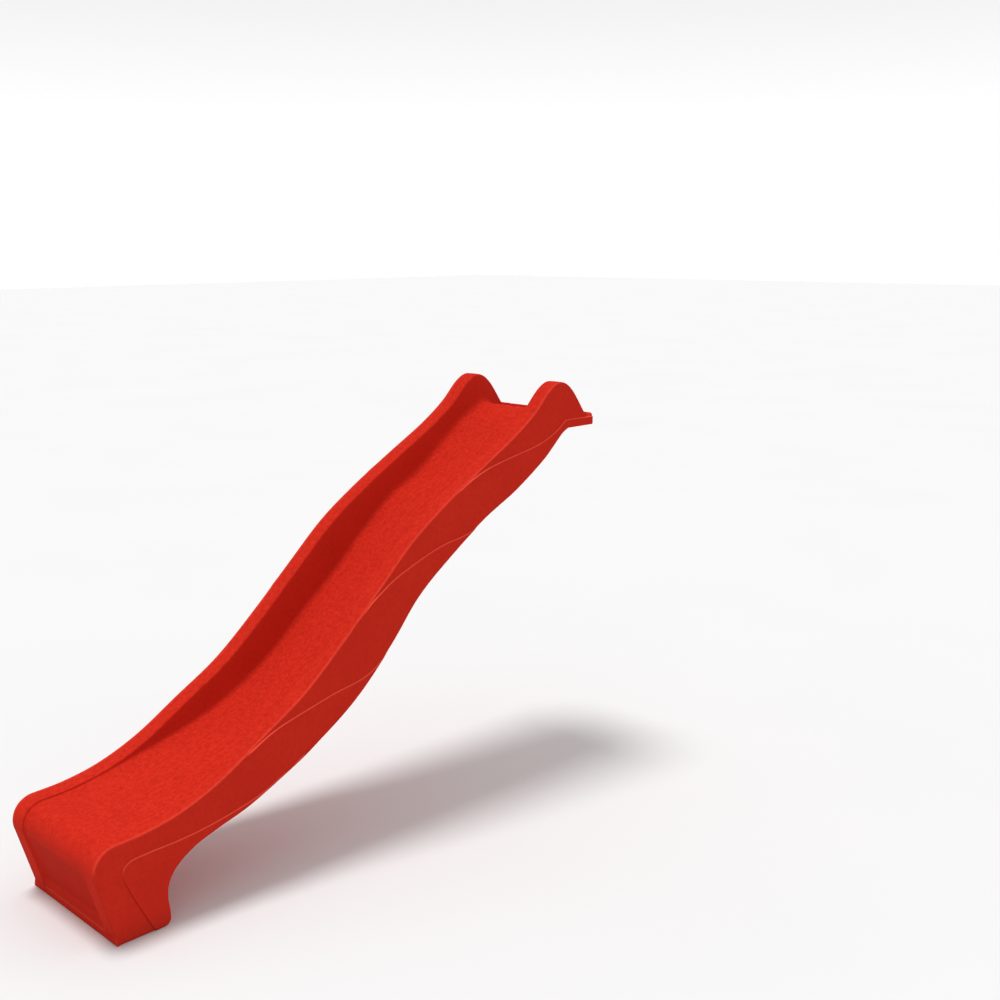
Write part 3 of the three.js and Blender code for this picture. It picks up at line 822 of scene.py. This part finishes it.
def moulded_red():
    """Satin red polyethylene: fine moulded grain, faint streaks along the run, scuffs on the
    sliding surface, painted highlight and painted shade on rail edges and step ledges, painted
    shade on the front panel, and darker, browner colour low on the foot."""
    s = Shader("moulded_red")
    place_of = s.node("ShaderNodeTexCoord").outputs["Object"]
    run = s.node("ShaderNodeAttribute", attribute_name="grain").outputs["Vector"]
    normal = s.node("ShaderNodeNewGeometry").outputs["Normal"]
    facing_up = s.node("ShaderNodeSeparateXYZ", {0: normal}).outputs["Z"]
    upward = s.remap(facing_up, 0.25, 0.7, 0.0, 1.0)

    coarse = s.noise(place_of, 62.0, 2.0, 0.6)
    medium = s.noise(place_of, 150.0, 2.0, 0.6)
    speckle = s.blend(coarse, 0.6, medium, 0.4)
    fine = s.noise(place_of, 900.0, 2.0, 0.6)
    cloud = s.noise(place_of, 5.0, 3.0, 0.5)
    streak = s.noise(s.scaled(run, (70.0, 2.6, 9.0)), 1.0, 4.0, 0.6)
    scuff = s.noise(s.scaled(run, (160.0, 5.0, 6.0)), 1.0, 2.0, 0.65)

    # body colour, with grain that is strongest on faces looking up and weakest on the front panel
    base = s.mix(s.remap(cloud, 0.3, 0.7, 0.0, 1.0), *RED)
    grainy = s.mix(s.remap(speckle, 0.34, 0.66, 0.0, 1.0), *GRAIN_RED)
    plain_and_shaded = s.node("ShaderNodeAttribute", attribute_name="plain_and_shaded").outputs["Fac"]
    # the front panel is plain, and painted darker as painted shade
    base = s.mix(plain_and_shaded, base, PAINTED_FRONT_SHADE_RED)
    textured = s.math("SUBTRACT", 1.0, s.math("MULTIPLY", plain_and_shaded, 0.8))
    amount = s.math("MULTIPLY", s.remap(upward, 0.0, 1.0, 0.18, 0.55), textured)
    colour = s.mix(amount, base, grainy)

    # streaks and scuffs along the run
    streaks = s.math(
        "MULTIPLY", s.remap(streak, 0.5, 0.8, 0.0, 0.4), s.remap(upward, 0, 1, 0.25, 1.0),
    )
    colour = s.mix(streaks, colour, STREAK_RED)
    scuffs = s.math("MULTIPLY", s.remap(scuff, 0.66, 0.8, 0.0, 0.22), upward)
    colour = s.mix(scuffs, colour, SCUFF_RED)

    # painted highlight on rail edges and step ledges that look up, painted shade on those that look
    # down
    painted_edge_light = s.node("ShaderNodeAttribute", attribute_name="painted_edge_light").outputs["Fac"]
    painted_highlight = s.math("MULTIPLY", painted_edge_light, s.remap(facing_up, -0.1, 0.3, 0.0, 0.9))
    colour = s.mix(painted_highlight, colour, PAINTED_HIGHLIGHT_RED)
    painted_shade = s.math("MULTIPLY", painted_edge_light, s.remap(facing_up, -0.30, -0.08, 0.6, 0.0))
    colour = s.mix(painted_shade, colour, PAINTED_SHADE_RED)

    # darker, browner colour near the ground
    height = s.node("ShaderNodeSeparateXYZ", {0: place_of}).outputs["Z"]
    low_darkening = s.math(
        "MULTIPLY", s.remap(height, 0.0, 0.07, 0.22, 0.0), s.remap(cloud, 0.35, 0.65, 0.4, 1.0),
    )
    colour = s.mix(low_darkening, colour, LOW_DARK_RED)
    s.feed(s.bsdf.inputs["Base Color"], colour)

    rough = s.remap(s.noise(place_of, 40.0, 3.0, 0.6), 0.3, 0.7, 0.64, 0.76)
    polished = s.math("MULTIPLY", streaks, 0.2)
    s.feed(s.bsdf.inputs["Roughness"], s.math("SUBTRACT", rough, polished))
    s.bsdf.inputs["Specular IOR Level"].default_value = 0.01
    s.feed(s.bsdf.inputs["Normal"], s.bump(s.blend(speckle, 0.7, fine, 0.3), 0.35, 0.0008))
    return s.material


def small_plastic(name, colours, roughness):
    s = Shader(name)
    place_of = s.node("ShaderNodeTexCoord").outputs["Object"]
    cloud = s.noise(place_of, 60.0, 3.0)
    fine = s.noise(place_of, 1400.0, 2.0)
    mottle = s.remap(s.blend(cloud, 0.6, fine, 0.4), 0.35, 0.65, 0, 1)
    rough = s.remap(cloud, 0.3, 0.7, roughness - 0.06, roughness + 0.06)
    s.feed(s.bsdf.inputs["Base Color"], s.mix(mottle, *colours))
    s.feed(s.bsdf.inputs["Roughness"], rough)
    s.bsdf.inputs["Specular IOR Level"].default_value = 0.35
    s.feed(s.bsdf.inputs["Normal"], s.bump(fine, 0.3, 0.0003))
    return s.material


def zinc_steel():
    s = Shader("zinc_steel")
    place_of = s.node("ShaderNodeTexCoord").outputs["Object"]
    cloud = s.noise(place_of, 120.0, 4.0)
    brushed = s.noise(s.scaled(place_of, (400.0, 400.0, 2500.0)), 1.0, 2.0)
    s.feed(s.bsdf.inputs["Base Color"], s.mix(s.remap(cloud, 0.3, 0.7, 0, 1), *ZINC))
    s.bsdf.inputs["Metallic"].default_value = 1.0
    s.feed(s.bsdf.inputs["Roughness"], s.remap(brushed, 0.3, 0.7, 0.26, 0.42))
    s.feed(s.bsdf.inputs["Normal"], s.bump(brushed, 0.2, 0.0002))
    return s.material


# ------------------------------------------------------------------ pieces


def show(obj, node, material):
    obj.data.materials.clear()
    obj.data.materials.append(material)
    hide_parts(node)
    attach(obj, "root")


def build_pieces():
    red = moulded_red()
    cover_red = small_plastic("cover_red", COVER_RED, 0.42)
    plug_red = small_plastic("plug_red", PLUG_RED, 0.5)
    black = small_plastic("black_plastic", BLACK, 0.42)
    rubber = small_plastic("seal_rubber", RUBBER, 0.75)
    zinc = zinc_steel()

    body = bpy.data.objects.new("slide_body_skin", make_body())
    bpy.context.scene.collection.objects.link(body)
    finish_mesh(body.data, SHARP_BODY)
    cut(body, body_cutters())
    show(body, "slide_body", red)

    seat = POCKET_FLOOR + GAP
    for x, side in zip(SCREW_XS, SIDES):
        washer = place(washer_mesh(), f"washer_{side}_fine", x, SCREW_Y, seat)
        show(washer, f"washer_{side}", zinc)
        screw = place(screw_mesh(), f"screw_{side}_fine", x, SCREW_Y, seat + WASHER_THICK + GAP)
        show(screw, f"screw_{side}", zinc)
        cover = place(cover_mesh(), f"screw_cover_{side}_fine", x, SCREW_Y, seat)
        show(cover, f"screw_cover_{side}", cover_red)
    for x, side in zip(PLUG_XS, ("left", "right")):
        plug = place(plug_mesh(), f"mould_plug_{side}_fine", x, PLUG_Y + GAP, PLUG_Z, FACING_BACK)
        show(plug, f"mould_plug_{side}", plug_red)

    top = LIP_TOP - 1 + GAP
    seal = place(seal_mesh(), "water_spout_seal_fine", 0, INLET_Y, top)
    show(seal, "water_spout_seal", rubber)
    spout = place(spout_mesh(), "water_spout_fine", 0, INLET_Y, top + SEAL_THICK + GAP)
    show(spout, "water_spout", black)
    nut_z = LIP_BOTTOM - GAP - NUT_THICK
    nut = place(nut_mesh(), "water_inlet_nut_fine", 0, INLET_Y, nut_z)
    show(nut, "water_inlet_nut", black)
    nipple = place(nipple_mesh(), "hose_nipple_fine", 0, INLET_Y, nut_z - GAP)
    show(nipple, "hose_nipple", black)


# ------------------------------------------------------------------ floor, light and camera


def build_floor():
    size = FLOOR_SIZE
    mesh = bpy.data.meshes.new("studio_floor")
    corners = [(-size, -size, 0), (size, -size, 0), (size, size, 0), (-size, size, 0)]
    mesh.from_pydata(corners, [], [(0, 1, 2, 3)])
    floor = bpy.data.objects.new("studio_floor", mesh)
    bpy.context.scene.collection.objects.link(floor)
    s = Shader("studio_floor")
    place_of = s.node("ShaderNodeTexCoord").outputs["Object"]
    cloud = s.noise(place_of, 0.6, 2.0)
    s.feed(s.bsdf.inputs["Base Color"], s.mix(cloud, *FLOOR_GREY))
    s.bsdf.inputs["Roughness"].default_value = 0.9
    s.bsdf.inputs["Specular IOR Level"].default_value = 0.1
    mesh.materials.append(s.material)


def sun(name, direction, spread, strength):
    data = bpy.data.lights.new(name, "SUN")
    data.angle = math.radians(spread)
    data.energy = strength
    light = bpy.data.objects.new(name, data)
    light.rotation_mode = "QUATERNION"
    light.rotation_quaternion = Vector(direction).to_track_quat("-Z", "Y")
    bpy.context.scene.collection.objects.link(light)


def build_light():
    """A white sky, a little darker overhead and towards the front, and one soft sun."""
    world = bpy.data.worlds.new("studio")
    world.use_nodes = True
    nodes, links = world.node_tree.nodes, world.node_tree.links
    sky = nodes.new("ShaderNodeTexCoord")
    split = nodes.new("ShaderNodeSeparateXYZ")
    both = nodes.new("ShaderNodeMath")
    both.operation = "MULTIPLY"
    links.new(sky.outputs["Generated"], split.inputs[0])
    for k, (axis, values) in enumerate((("Z", SKY_FADE), ("Y", FRONT_FADE))):
        fade = nodes.new("ShaderNodeMapRange")
        links.new(split.outputs[axis], fade.inputs["Value"])
        for socket, value in enumerate(values, 1):
            fade.inputs[socket].default_value = value
        links.new(fade.outputs["Result"], both.inputs[k])
    links.new(both.outputs[0], nodes["Background"].inputs["Strength"])
    nodes["Background"].inputs["Color"].default_value = SKY_WHITE
    scene = bpy.context.scene
    scene.world = world
    sun("key", KEY_DIRECTION, KEY_SPREAD, KEY_STRENGTH)
    scene.view_settings.view_transform = "Standard"
    scene.view_settings.look = "None"


def build_camera():
    yaw, pitch, roll = (math.radians(v) for v in (CAMERA_YAW, CAMERA_PITCH, CAMERA_ROLL))
    forward = Vector((
        -math.sin(yaw) * math.cos(pitch), math.cos(yaw) * math.cos(pitch), -math.sin(pitch),
    ))
    right = Vector((math.cos(yaw), math.sin(yaw), 0))
    up = right.cross(forward)
    side = right * math.cos(roll) + up * math.sin(roll)
    up = side.cross(forward)
    data = bpy.data.cameras.new("camera")
    data.sensor_width = CAMERA_SENSOR
    data.lens = CAMERA_LENS
    data.shift_y = CAMERA_SHIFT
    camera = bpy.data.objects.new("camera", data)
    turn = Matrix((side, up, -forward)).transposed().to_4x4()
    camera.matrix_world = Matrix.Translation(CAMERA_AT) @ turn
    bpy.context.scene.collection.objects.link(camera)
    bpy.context.scene.camera = camera


build_pieces()
build_floor()
build_light()
build_camera()

bpy.context.view_layer.update()
